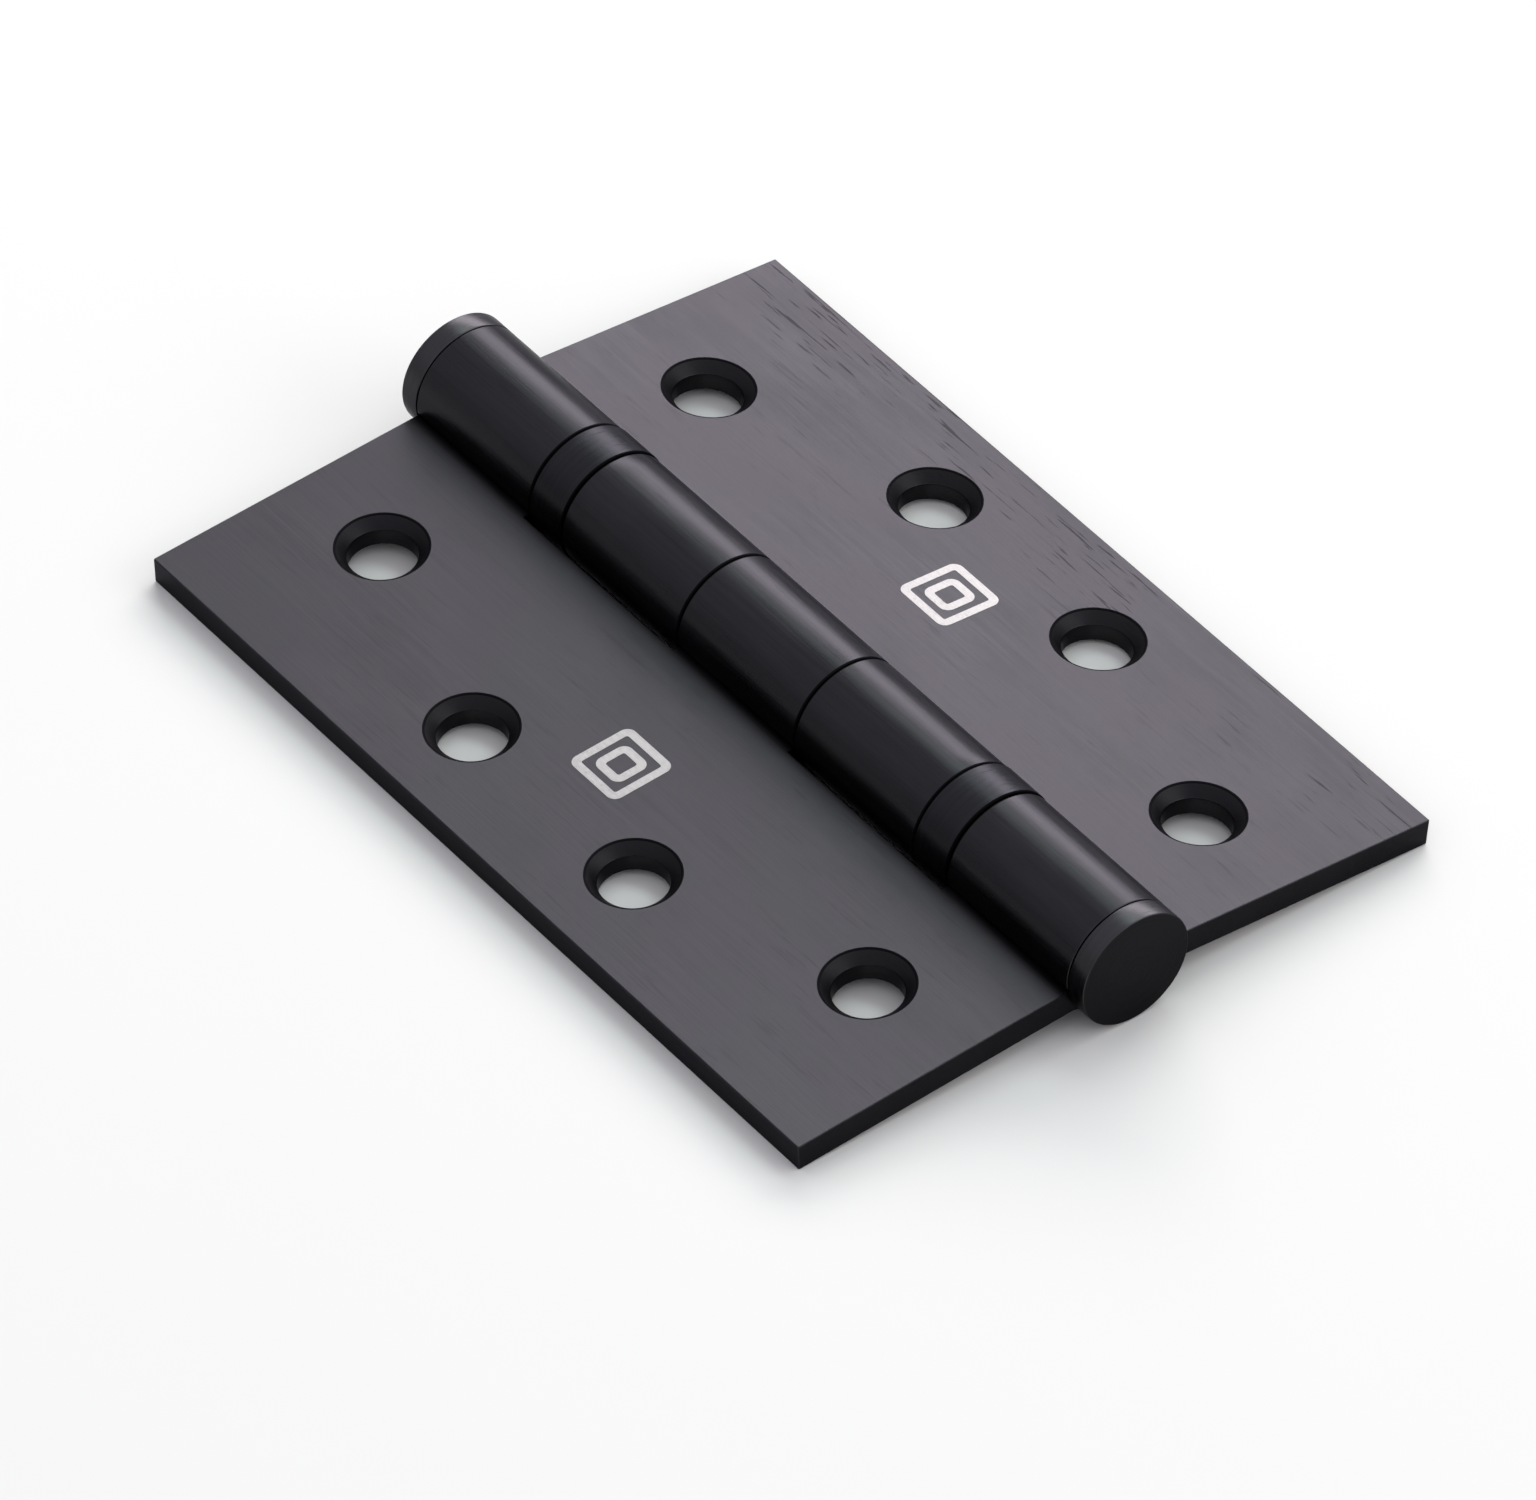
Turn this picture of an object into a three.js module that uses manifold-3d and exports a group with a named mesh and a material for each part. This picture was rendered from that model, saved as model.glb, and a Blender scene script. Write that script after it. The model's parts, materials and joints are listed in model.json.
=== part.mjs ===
// A 101.6 x 76.2 x 3 mm butt hinge with two ball bearings in its barrel.
//
// It lies open on its back. The pin's axis runs along Y, and the screw heads' side of both
// leaves faces up. X = 0 is under the pin, Y = 0 is the middle of the leaves, and Z = 0 is the
// surface that the hinge lies on. The top end, where the upper bearing is, points to +Y.
// The left leaf is on -X and carries knuckles 1, 3 and 5. The right leaf carries 2 and 4.
// All sizes are in millimetres.

import * as THREE from 'three';
import { mergeVertices } from 'three/addons/utils/BufferGeometryUtils.js';
import Module from 'manifold-3d';

const wasm = await Module();
wasm.setup();

// Leaves
const LEAF_HEIGHT = 101.6;          // along the pin
const LEAF_WIDTH = 38.1;            // from the pin's axis to the outer edge
const PLATE = 3.0;                  // thickness of the rolled plate
const CLOSED_GAP = 1.7;             // between the leaves when they are shut parallel
const NOTCH_REACH = 6.9;            // from the axis to the plate's edge beside the other leaf's knuckles
const NECK_OVERLAP = 1.5;           // how far a knuckle's section runs on into the plate

// Knuckles, which are the plate rolled round the pin
const KNUCKLE_RADIUS = 6.3;
const CURL_GAP = 0.25;              // between the curl's end and the face of its own plate
const SWAGE_RADIUS = 2.0;           // inside bend where the back of the plate meets the barrel
const SEAM = 0.3;                   // gap between neighbours in the barrel

// Screw holes
const HOLE_RADIUS = 3.5;
const COUNTERSINK_RADIUS = 4.62;    // at the plate's face, with a 90 degree cone
const HOLE_ROWS = 4;
const HOLE_PITCH = LEAF_HEIGHT / HOLE_ROWS;
const OUTER_ROW = 20.0;             // axis to the first and last holes
const INNER_ROW = 28.2;             // axis to the two middle holes

// Pin and end caps
const PIN_RADIUS = 3.0;
const PIN_CHAMFER = 0.4;
const CAP_THICKNESS = 2.3;
const CAP_CHAMFER = 0.2;
const SPIGOT_RADIUS = 3.15;         // the cap's stem, pressed into the end knuckle
const SPIGOT_LENGTH = 5.0;

// Ball bearings
const BEARING_HEIGHT = 5.0;
const BEARING_RADIUS = 6.4;         // the widest part of the barrel
const SHELL_WALL = 0.55;
const SHELL_FLOOR = 0.8;
const SHELL_RIM_DROP = 0.2;         // the cover race stands this far out of the shell
const SHELL_CHAMFER = 0.15;
const RACE_INNER_RADIUS = 3.35;
const RACE_OUTER_RADIUS = 5.6;
const SEAT_RACE = 1.3;              // thickness of the race on the shell's floor
const RACE_CLEARANCE = 0.1;         // under the seat race
const BALL_COUNT = 10;
const BALL_RADIUS = 1.588 / 2;
const PITCH_RADIUS = 4.48;          // axis to ball centres
const GROOVE_CLEARANCE = 0.1;
const GROOVE_DEPTH = 0.25;
const CAGE_THICKNESS = 0.8;
const CAGE_INNER_RADIUS = 3.4;
const CAGE_OUTER_RADIUS = 5.56;
const POCKET_CLEARANCE = 0.09;

// Facets
const BARREL_SEGMENTS = 48;
const BORE_SEGMENTS = 36;
const BEND_STEPS = 4;
const HOLE_SEGMENTS = 32;
const RACE_SEGMENTS = 36;
const GROOVE_STEPS = 4;
const POCKET_SEGMENTS = 12;
const BALL_SEGMENTS = 10;
const BALL_RINGS = 7;
const WELD = 1e-4;                  // vertices nearer than this are one vertex
const CUT_MARGIN = 1.0;             // how far a cutter runs past the face that it cuts

// Lengths that follow from those above
const FACE_DROP = CLOSED_GAP / 2;               // axis to the screw heads' face
const BACK_DROP = FACE_DROP + PLATE;            // axis to the plate's back
const BORE_RADIUS = KNUCKLE_RADIUS - PLATE;
const BARREL_ORDER = ['knuckle', 'bearing', 'knuckle', 'knuckle', 'knuckle', 'bearing', 'knuckle'];
const KNUCKLE_COUNT = BARREL_ORDER.filter((kind) => kind === 'knuckle').length;
const BEARING_COUNT = BARREL_ORDER.length - KNUCKLE_COUNT;
const SEAM_TOTAL = SEAM * (BARREL_ORDER.length - 1);
const KNUCKLE_LENGTH = (LEAF_HEIGHT - BEARING_COUNT * BEARING_HEIGHT - SEAM_TOTAL) / KNUCKLE_COUNT;

// The bearing shells and the lower outer edges of both leaves touch the same flat surface, so
// each leaf slopes down by this angle.
const LEAF_TILT = Math.asin(BEARING_RADIUS / Math.hypot(LEAF_WIDTH, BACK_DROP))
  - Math.atan2(BACK_DROP, LEAF_WIDTH);

const blackSteel = (tint) => new THREE.MeshStandardMaterial({ color: tint, roughness: 0.45, metalness: 0.7 });
const FINISHES = {
  leafLeft: blackSteel(0x5b5a5f),
  leafRight: blackSteel(0x6c686e),
  cap: blackSteel(0x2c2b2e),
  shell: blackSteel(0x3a393d),
  pin: new THREE.MeshStandardMaterial({ color: 0x9a9b9d, roughness: 0.35, metalness: 1 }),
  race: new THREE.MeshStandardMaterial({ color: 0xa9aaac, roughness: 0.25, metalness: 1 }),
  ball: new THREE.MeshStandardMaterial({ color: 0xd4d6d8, roughness: 0.08, metalness: 1 }),
  cage: new THREE.MeshStandardMaterial({ color: 0xb08d4c, roughness: 0.4, metalness: 1 }),
};

// Points along a circular arc, from one angle to another, ends included.
function arc(centreX, centreY, radius, from, to, steps) {
  const points = [];
  for (let i = 0; i <= steps; i += 1) {
    const angle = from + (to - from) * i / steps;
    points.push(new THREE.Vector2(centreX + radius * Math.cos(angle), centreY + radius * Math.sin(angle)));
  }
  return points;
}

const point = (x, y) => new THREE.Vector2(x, y);

// A profile turned round the Y axis.
function turned(profile, segments) {
  return new THREE.LatheGeometry(profile, segments);
}

// A closed ring profile turned round the Y axis.
function turnedRing(profile, segments) {
  return turned([...profile, profile[0].clone()], segments);
}

// A shape in the XZ plane given thickness along Y, from y = 0 to y = length.
function extrudedAlongY(shape, length) {
  const geometry = new THREE.ExtrudeGeometry(shape, { depth: length, bevelEnabled: false });
  geometry.rotateX(Math.PI / 2);
  geometry.translate(0, length, 0);
  return geometry;
}

function toSolid(geometry) {
  const bare = geometry.clone();
  bare.deleteAttribute('normal');
  bare.deleteAttribute('uv');
  const welded = mergeVertices(bare, WELD);
  const corners = [];
  for (let i = 0; i < welded.index.count; i += 3) {
    const [a, b, c] = [welded.index.getX(i), welded.index.getX(i + 1), welded.index.getX(i + 2)];
    if (a !== b && b !== c && c !== a) corners.push(a, b, c);
  }
  return new wasm.Manifold(new wasm.Mesh({
    numProp: 3,
    vertProperties: welded.getAttribute('position').array,
    triVerts: Uint32Array.from(corners),
  }));
}

function toGeometry(solid) {
  const mesh = solid.getMesh();
  const geometry = new THREE.BufferGeometry();
  geometry.setAttribute('position', new THREE.BufferAttribute(mesh.vertProperties, 3));
  geometry.setIndex(new THREE.BufferAttribute(mesh.triVerts, 1));
  const flat = geometry.toNonIndexed();
  flat.computeVertexNormals();
  return flat;
}

function named(name, geometry, material) {
  const mesh = new THREE.Mesh(geometry, material);
  mesh.name = name;
  return mesh;
}

// The middle of each knuckle and each bearing along the pin, from the top down.
function layOutBarrel() {
  const length = { knuckle: KNUCKLE_LENGTH, bearing: BEARING_HEIGHT };
  const middles = { knuckle: [], bearing: [] };
  let top = LEAF_HEIGHT / 2;
  for (const kind of BARREL_ORDER) {
    middles[kind].push(top - length[kind] / 2);
    top -= length[kind] + SEAM;
  }
  return middles;
}

// The section of a rolled knuckle, with the start of its plate towards +X. The plate's back
// bends down into the barrel, the curl goes once round the bore, and its end stops just above
// the plate's face.
function knuckleSection() {
  const curlEnd = -FACE_DROP + CURL_GAP;
  const neckEnd = NOTCH_REACH + NECK_OVERLAP;
  const boreStart = Math.asin(-FACE_DROP / BORE_RADIUS);
  const boreEnd = Math.asin(curlEnd / BORE_RADIUS) - 2 * Math.PI;
  const bendDrop = BACK_DROP + SWAGE_RADIUS;
  const bendX = Math.sqrt((KNUCKLE_RADIUS + SWAGE_RADIUS) ** 2 - bendDrop ** 2);
  const bendAngle = Math.atan2(bendDrop, bendX);
  const outerStart = Math.asin(curlEnd / KNUCKLE_RADIUS);
  const outerEnd = 2 * Math.PI - bendAngle;
  return new THREE.Shape([
    point(neckEnd, -BACK_DROP),
    point(neckEnd, -FACE_DROP),
    ...arc(0, 0, BORE_RADIUS, boreStart, boreEnd, BORE_SEGMENTS),
    ...arc(0, 0, KNUCKLE_RADIUS, outerStart, outerEnd, BARREL_SEGMENTS),
    ...arc(bendX, -bendDrop, SWAGE_RADIUS, Math.PI - bendAngle, Math.PI / 2, BEND_STEPS).slice(1),
  ]);
}

function plate() {
  const width = LEAF_WIDTH - NOTCH_REACH;
  const geometry = new THREE.BoxGeometry(width, LEAF_HEIGHT, PLATE);
  geometry.translate(NOTCH_REACH + width / 2, 0, -FACE_DROP - PLATE / 2);
  return geometry;
}

// The tool that cuts one screw hole and its countersink, with the plate's face at z = 0.
function screwHole() {
  const coneDepth = COUNTERSINK_RADIUS - HOLE_RADIUS;
  const bottom = -PLATE - CUT_MARGIN;
  const geometry = turned([
    point(0, bottom),
    point(HOLE_RADIUS, bottom),
    point(HOLE_RADIUS, -coneDepth),
    point(COUNTERSINK_RADIUS + CUT_MARGIN, CUT_MARGIN),
    point(0, CUT_MARGIN),
  ], HOLE_SEGMENTS);
  geometry.rotateX(Math.PI / 2);
  return geometry;
}

// Where the screws go: evenly spaced rows, with the middle ones further from the pin.
function screwPlaces() {
  const places = [];
  for (let row = 0; row < HOLE_ROWS; row += 1) {
    const isEnd = row === 0 || row === HOLE_ROWS - 1;
    places.push([isEnd ? OUTER_ROW : INNER_ROW, ((HOLE_ROWS - 1) / 2 - row) * HOLE_PITCH]);
  }
  return places;
}

// One leaf towards +X with the pin's axis at the origin: its plate, its knuckles at the given
// places along Y, and its screw holes.
function leaf(knuckleMiddles) {
  let solid = toSolid(plate());
  for (const middle of knuckleMiddles) {
    const knuckle = extrudedAlongY(knuckleSection(), KNUCKLE_LENGTH);
    knuckle.translate(0, middle - KNUCKLE_LENGTH / 2, 0);
    solid = solid.add(toSolid(knuckle));
  }
  for (const [x, y] of screwPlaces()) {
    const cutter = screwHole();
    cutter.translate(x, y, -FACE_DROP);
    solid = solid.subtract(toSolid(cutter));
  }
  return toGeometry(solid);
}

// The leaves are the same kind of piece. The left one is turned half round, so that it points
// to -X, and both slope down to their outer edges.
function leaves(knuckleMiddles) {
  const odd = knuckleMiddles.filter((_, i) => i % 2 === 0);
  const even = knuckleMiddles.filter((_, i) => i % 2 === 1);
  const left = named('leaf_left', leaf(odd), FINISHES.leafLeft);
  left.rotation.z = Math.PI;
  const leftSlope = new THREE.Group();
  leftSlope.rotation.y = -LEAF_TILT;
  leftSlope.add(left);
  const right = named('leaf_right', leaf(even), FINISHES.leafRight);
  const rightSlope = new THREE.Group();
  rightSlope.rotation.y = LEAF_TILT;
  rightSlope.add(right);
  return [leftSlope, rightSlope];
}

function hingePin() {
  const half = LEAF_HEIGHT / 2 - SPIGOT_LENGTH - SEAM;
  return named('hinge_pin', turned([
    point(0, -half),
    point(PIN_RADIUS - PIN_CHAMFER, -half),
    point(PIN_RADIUS, -half + PIN_CHAMFER),
    point(PIN_RADIUS, half - PIN_CHAMFER),
    point(PIN_RADIUS - PIN_CHAMFER, half),
    point(0, half),
  ], BORE_SEGMENTS), FINISHES.pin);
}

// A flat button with a stem that is pressed into the end knuckle. It points to +Y.
function endCap(name) {
  const stemEnd = LEAF_HEIGHT / 2 - SPIGOT_LENGTH;
  const under = LEAF_HEIGHT / 2 + SEAM / 2;
  const face = under + CAP_THICKNESS;
  return named(name, turned([
    point(0, stemEnd),
    point(SPIGOT_RADIUS, stemEnd),
    point(SPIGOT_RADIUS, under),
    point(KNUCKLE_RADIUS, under),
    point(KNUCKLE_RADIUS, face - CAP_CHAMFER),
    point(KNUCKLE_RADIUS - CAP_CHAMFER, face),
    point(0, face),
  ], BARREL_SEGMENTS), FINISHES.cap);
}

// Heights in a bearing, from the middle of its height, with its shell's floor down.
const FLOOR_TOP = -BEARING_HEIGHT / 2 + SHELL_FLOOR;
const SEAT_UNDER = FLOOR_TOP + RACE_CLEARANCE;
const SEAT_FACE = SEAT_UNDER + SEAT_RACE;
const GROOVE_RADIUS = BALL_RADIUS + GROOVE_CLEARANCE;
const BALL_LEVEL = SEAT_FACE - GROOVE_DEPTH + GROOVE_RADIUS;
const COVER_FACE = 2 * BALL_LEVEL - SEAT_FACE;
const COVER_TOP = BEARING_HEIGHT / 2;

// The cup that holds the seat race, the cage and the balls, and shows as a ring in the barrel.
function bearingShell(name) {
  const under = -BEARING_HEIGHT / 2;
  const rim = BEARING_HEIGHT / 2 - SHELL_RIM_DROP;
  const inside = BEARING_RADIUS - SHELL_WALL;
  return named(name, turnedRing([
    point(RACE_INNER_RADIUS, under),
    point(BEARING_RADIUS - SHELL_CHAMFER, under),
    point(BEARING_RADIUS, under + SHELL_CHAMFER),
    point(BEARING_RADIUS, rim - SHELL_CHAMFER),
    point(BEARING_RADIUS - SHELL_CHAMFER, rim),
    point(inside, rim),
    point(inside, FLOOR_TOP),
    point(RACE_INNER_RADIUS, FLOOR_TOP),
  ], BARREL_SEGMENTS), FINISHES.shell);
}

// Both races are washers with a round groove that the balls run in.
function seatRace(name) {
  const halfWidth = Math.acos((BALL_LEVEL - SEAT_FACE) / GROOVE_RADIUS);
  const down = -Math.PI / 2;
  const groove = arc(PITCH_RADIUS, BALL_LEVEL, GROOVE_RADIUS, down + halfWidth, down - halfWidth, GROOVE_STEPS);
  return named(name, turnedRing([
    point(RACE_INNER_RADIUS, SEAT_UNDER),
    point(RACE_OUTER_RADIUS, SEAT_UNDER),
    point(RACE_OUTER_RADIUS, SEAT_FACE),
    ...groove,
    point(RACE_INNER_RADIUS, SEAT_FACE),
  ], RACE_SEGMENTS), FINISHES.race);
}

function coverRace(name) {
  const halfWidth = Math.acos((COVER_FACE - BALL_LEVEL) / GROOVE_RADIUS);
  const up = Math.PI / 2;
  const groove = arc(PITCH_RADIUS, BALL_LEVEL, GROOVE_RADIUS, up + halfWidth, up - halfWidth, GROOVE_STEPS);
  return named(name, turnedRing([
    point(RACE_INNER_RADIUS, COVER_FACE),
    ...groove,
    point(RACE_OUTER_RADIUS, COVER_FACE),
    point(RACE_OUTER_RADIUS, COVER_TOP),
    point(RACE_INNER_RADIUS, COVER_TOP),
  ], RACE_SEGMENTS), FINISHES.race);
}

const ballAngle = (i) => 2 * Math.PI * i / BALL_COUNT;

// The flat ring that keeps the balls apart, with one round pocket for each.
function ballCage(name) {
  const ring = new THREE.Shape(arc(0, 0, CAGE_OUTER_RADIUS, 0, 2 * Math.PI, RACE_SEGMENTS).slice(1));
  ring.holes.push(new THREE.Path(arc(0, 0, CAGE_INNER_RADIUS, 0, -2 * Math.PI, RACE_SEGMENTS).slice(1)));
  for (let i = 0; i < BALL_COUNT; i += 1) {
    const x = PITCH_RADIUS * Math.cos(ballAngle(i));
    const z = PITCH_RADIUS * Math.sin(ballAngle(i));
    const radius = BALL_RADIUS + POCKET_CLEARANCE;
    ring.holes.push(new THREE.Path(arc(x, z, radius, 0, -2 * Math.PI, POCKET_SEGMENTS).slice(1)));
  }
  const geometry = extrudedAlongY(ring, CAGE_THICKNESS);
  geometry.translate(0, BALL_LEVEL - CAGE_THICKNESS / 2, 0);
  return named(name, geometry, FINISHES.cage);
}

function bearingBalls(prefix) {
  const balls = [];
  for (let i = 0; i < BALL_COUNT; i += 1) {
    const number = String(i + 1).padStart(2, '0');
    const sphere = new THREE.SphereGeometry(BALL_RADIUS, BALL_SEGMENTS, BALL_RINGS);
    const ball = named(`${prefix}_ball_${number}`, sphere, FINISHES.ball);
    const angle = ballAngle(i);
    ball.position.set(PITCH_RADIUS * Math.cos(angle), BALL_LEVEL, PITCH_RADIUS * Math.sin(angle));
    balls.push(ball);
  }
  return balls;
}

// A whole thrust bearing. Its shell's floor is down, or up when it is turned over.
function bearing(prefix, middle, isTurnedOver) {
  const group = new THREE.Group();
  group.position.y = middle;
  group.rotation.z = isTurnedOver ? Math.PI : 0;
  group.add(
    bearingShell(`${prefix}_shell`),
    seatRace(`${prefix}_seat_race`),
    coverRace(`${prefix}_cover_race`),
    ballCage(`${prefix}_cage`),
    ...bearingBalls(prefix),
  );
  return group;
}

function hinge() {
  const middles = layOutBarrel();
  const bottomCap = endCap('bottom_cap');
  bottomCap.rotation.z = Math.PI;
  const barrel = new THREE.Group();
  barrel.position.z = BEARING_RADIUS;
  barrel.add(
    ...leaves(middles.knuckle),
    hingePin(),
    endCap('top_cap'),
    bottomCap,
    bearing('upper_bearing', middles.bearing[0], false),
    bearing('lower_bearing', middles.bearing[1], true),
  );
  const group = new THREE.Group();
  group.add(barrel);
  return group;
}

const group = hinge();

export default group;
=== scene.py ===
"""A matte black ball-bearing butt hinge, lying open on a pale floor.

Shapes are worked out in millimetres in each piece's own frame and scaled to metres when the
mesh is made. The pin's axis is the local Y axis of every piece.
"""

import json
import math

import bmesh
import bpy
from mathutils import Matrix, Vector


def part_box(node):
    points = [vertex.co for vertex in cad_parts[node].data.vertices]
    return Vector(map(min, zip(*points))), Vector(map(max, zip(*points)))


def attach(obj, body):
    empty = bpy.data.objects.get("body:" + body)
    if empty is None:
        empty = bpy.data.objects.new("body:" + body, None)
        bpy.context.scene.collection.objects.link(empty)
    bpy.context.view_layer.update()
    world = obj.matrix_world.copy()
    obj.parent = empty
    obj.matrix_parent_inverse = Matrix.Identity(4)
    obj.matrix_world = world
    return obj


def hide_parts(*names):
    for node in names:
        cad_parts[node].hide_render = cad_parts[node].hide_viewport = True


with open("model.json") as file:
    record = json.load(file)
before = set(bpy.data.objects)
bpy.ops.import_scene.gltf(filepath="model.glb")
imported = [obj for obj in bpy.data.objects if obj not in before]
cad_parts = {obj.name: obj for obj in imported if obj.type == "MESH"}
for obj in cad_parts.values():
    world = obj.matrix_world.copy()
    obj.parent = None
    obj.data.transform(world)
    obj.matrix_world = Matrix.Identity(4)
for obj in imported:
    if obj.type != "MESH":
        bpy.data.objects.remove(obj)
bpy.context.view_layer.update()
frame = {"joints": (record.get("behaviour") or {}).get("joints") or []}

MM = 0.001

# ---------------------------------------------------------------- places from the frame

joints = {joint["name"]: joint for joint in frame["joints"]}
AXIS = Vector(joints["leaf_swing"]["pos_m"])

BEARING_HEIGHT = 5.0
SHELL_RIM_DROP = 0.2


def y_range(node):
    """The lowest and highest y of a CAD node, in millimetres."""
    low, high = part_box(node)
    return low.y / MM, high.y / MM


def bearing_middle(bearing, turned_over):
    """The y of a bearing's middle. Its CAD shell stops a little short of the bearing's end."""
    low, high = y_range(bearing + "_shell")
    drop = -SHELL_RIM_DROP if turned_over else SHELL_RIM_DROP
    return (low + high + drop) / 2


LEAF_BOTTOM, LEAF_TOP = y_range("leaf_left")
UPPER_MIDDLE = bearing_middle("upper_bearing", False)
LOWER_MIDDLE = bearing_middle("lower_bearing", True)

# ---------------------------------------------------------------- sizes in millimetres

# Leaves, level: drops are below the pin's axis, and reaches are out from it
LEAF_WIDTH = 38.1
PLATE = 3.0
FACE_DROP = 0.85
BACK_DROP = FACE_DROP + PLATE
NOTCH_REACH = 6.9
KNUCKLE_COUNT = 5
KNUCKLE_RADIUS = 6.3
BORE_RADIUS = KNUCKLE_RADIUS - PLATE
CURL_GAP = 0.25
SWAGE_RADIUS = 2.0
HOLE_COUNT = 4
HOLE_PITCH = (LEAF_TOP - LEAF_BOTTOM) / HOLE_COUNT
HOLE_RADIUS = 3.5
COUNTERSINK_RADIUS = 4.62
END_HOLE_REACH = 20.0
MIDDLE_HOLE_REACH = 28.2

# Seams of the barrel: places keep the CAD's wide ones, and the narrow ones are what shows
SEAM = 0.3
SEAM_COUNT = 6
SHOWN_SEAM = 0.1
SHELL_RIM_GAP = 0.05

# The slope that brings a leaf's outer edge down level with the underside of the bearings
BEARING_RADIUS = 6.4
LEAF_TILT = math.asin(BEARING_RADIUS / math.hypot(LEAF_WIDTH, BACK_DROP)) - math.atan2(
    BACK_DROP, LEAF_WIDTH
)

# Pin and caps
PIN_RADIUS = 3.0
CAP_THICKNESS = 2.3
SPIGOT_RADIUS = 3.15
SPIGOT_LENGTH = 5.0

# Bearings: heights are from a bearing's middle
SHELL_WALL = 0.55
SHELL_FLOOR = 0.8
RACE_INNER = 3.35
RACE_OUTER = 5.6
SEAT_RACE = 1.3
RACE_CLEARANCE = 0.1
BALL_COUNT = 10
BALL_RADIUS = 0.794
PITCH_RADIUS = 4.48
GROOVE_RADIUS = BALL_RADIUS + 0.1
GROOVE_DEPTH = 0.25
CAGE_THICKNESS = 0.8
CAGE_INNER = 3.4
CAGE_OUTER = 5.56
POCKET_RADIUS = BALL_RADIUS + 0.09

FLOOR_TOP = -BEARING_HEIGHT / 2 + SHELL_FLOOR
SEAT_UNDER = FLOOR_TOP + RACE_CLEARANCE
SEAT_FACE = SEAT_UNDER + SEAT_RACE
BALL_LEVEL = SEAT_FACE - GROOVE_DEPTH + GROOVE_RADIUS
COVER_FACE = 2 * BALL_LEVEL - SEAT_FACE

# Rounding of the edges
PLATE_EDGE = 0.14
SEAM_EDGE = 0.22
RIM_EDGE = 0.15
UNDER_RIM_EDGE = RIM_EDGE / 2
SHELL_EDGE = 0.22
RACE_EDGE = 0.05
CAGE_EDGE = 0.05
CAP_EDGE = 0.16
PIN_EDGE = 0.4
EDGE_STEPS = 3
SHARP = math.radians(28)

# A face's "edge" value: above 0 its coating is rubbed thin, and below 0 it lies in shade
RUBBED = 1.0
SLIGHTLY_RUBBED = 0.3
PLAIN = 0.0
CONE_SHADE = -0.45
SHADED = -1.0

# Smoothness
ROLL_STEPS = 168
BORE_STEPS = 96
SWAGE_STEPS = 10
HOLE_STEPS = 96
TURNED_STEPS = 192
GROOVE_STEPS = 12
BALL_STEPS = 40
POCKET_STEPS = 16
CAGE_STEPS = 6
LABEL_STEPS = 8
FLAT_FACE_WEIGHT = 100

# Tolerances: points are one when they agree to this many decimals, and a rounded corner takes at
# most this share of the sides that meet there
SAME_POINT_DIGITS = 4
CORNER_SHARE = 0.45
TOUCH = 0.01
ON_AXIS = 1e-6
HOLE_MARGIN = 0.2
# Between these a face's upward part says that it is a countersink's slope
CONE_TILT = (0.3, 0.95)

# ---------------------------------------------------------------- mesh tools


class Skin:
    """Polygons that share a corner wherever their points meet."""

    def __init__(self):
        self.index = {}
        self.points = []
        self.faces = []
        self.edge_faces = set()

    def corner(self, point):
        key = tuple(round(c, SAME_POINT_DIGITS) for c in point)
        if key not in self.index:
            self.index[key] = len(self.points)
            self.points.append(point)
        return self.index[key]

    def face(self, points, is_edge=False):
        """Adds a polygon. Corners that fall together are made one, and a line is left out."""
        ids = [self.corner(p) for p in points]
        ids = [a for a, b in zip(ids, ids[1:] + ids[:1]) if a != b]
        if len(ids) < 3:
            return
        if is_edge:
            self.edge_faces.add(len(self.faces))
        self.faces.append(ids)

    def to_bmesh(self, mark=RUBBED):
        """The mesh in metres, with the mark on the faces that were said to be edges."""
        bm = bmesh.new()
        layer = bm.faces.layers.float.new("edge")
        verts = [bm.verts.new(Vector(p) * MM) for p in self.points]
        for number, ids in enumerate(self.faces):
            made = bm.faces.new([verts[i] for i in ids])
            made[layer] = mark if number in self.edge_faces else PLAIN
        bmesh.ops.recalc_face_normals(bm, faces=bm.faces)
        return bm


def arc(x, y, radius, start, end, steps):
    """Points along an arc, both ends included."""
    return [
        (
            x + radius * math.cos(start + (end - start) * i / steps),
            y + radius * math.sin(start + (end - start) * i / steps),
        )
        for i in range(steps + 1)
    ]


def soften(bm, edges, offset, mark=RUBBED):
    """Rounds these edges and marks the new faces."""
    layer = bm.faces.layers.float["edge"]
    made = bmesh.ops.bevel(
        bm,
        geom=list(edges),
        offset=offset * MM,
        offset_type="OFFSET",
        segments=EDGE_STEPS,
        profile=0.5,
        affect="EDGES",
        clamp_overlap=False,
        loop_slide=False,
    )
    for f in made["faces"]:
        f[layer] = mark


def finish_piece(name, bm, body, material, replaces=(), place=Matrix(), smooth=True):
    """Makes the object, shades it smooth with flat faces kept flat, and puts it on its body."""
    mesh = bpy.data.meshes.new(name)
    for f in bm.faces:
        f.smooth = smooth
    bm.to_mesh(mesh)
    bm.free()
    obj = bpy.data.objects.new(name, mesh)
    bpy.context.scene.collection.objects.link(obj)
    obj.matrix_world = place
    mesh.materials.append(material)
    if smooth:
        shading = obj.modifiers.new("flat faces stay flat", "WEIGHTED_NORMAL")
        shading.weight = FLAT_FACE_WEIGHT
    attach(obj, body)
    if replaces:
        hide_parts(*replaces)


# ---------------------------------------------------------------- leaves


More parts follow.
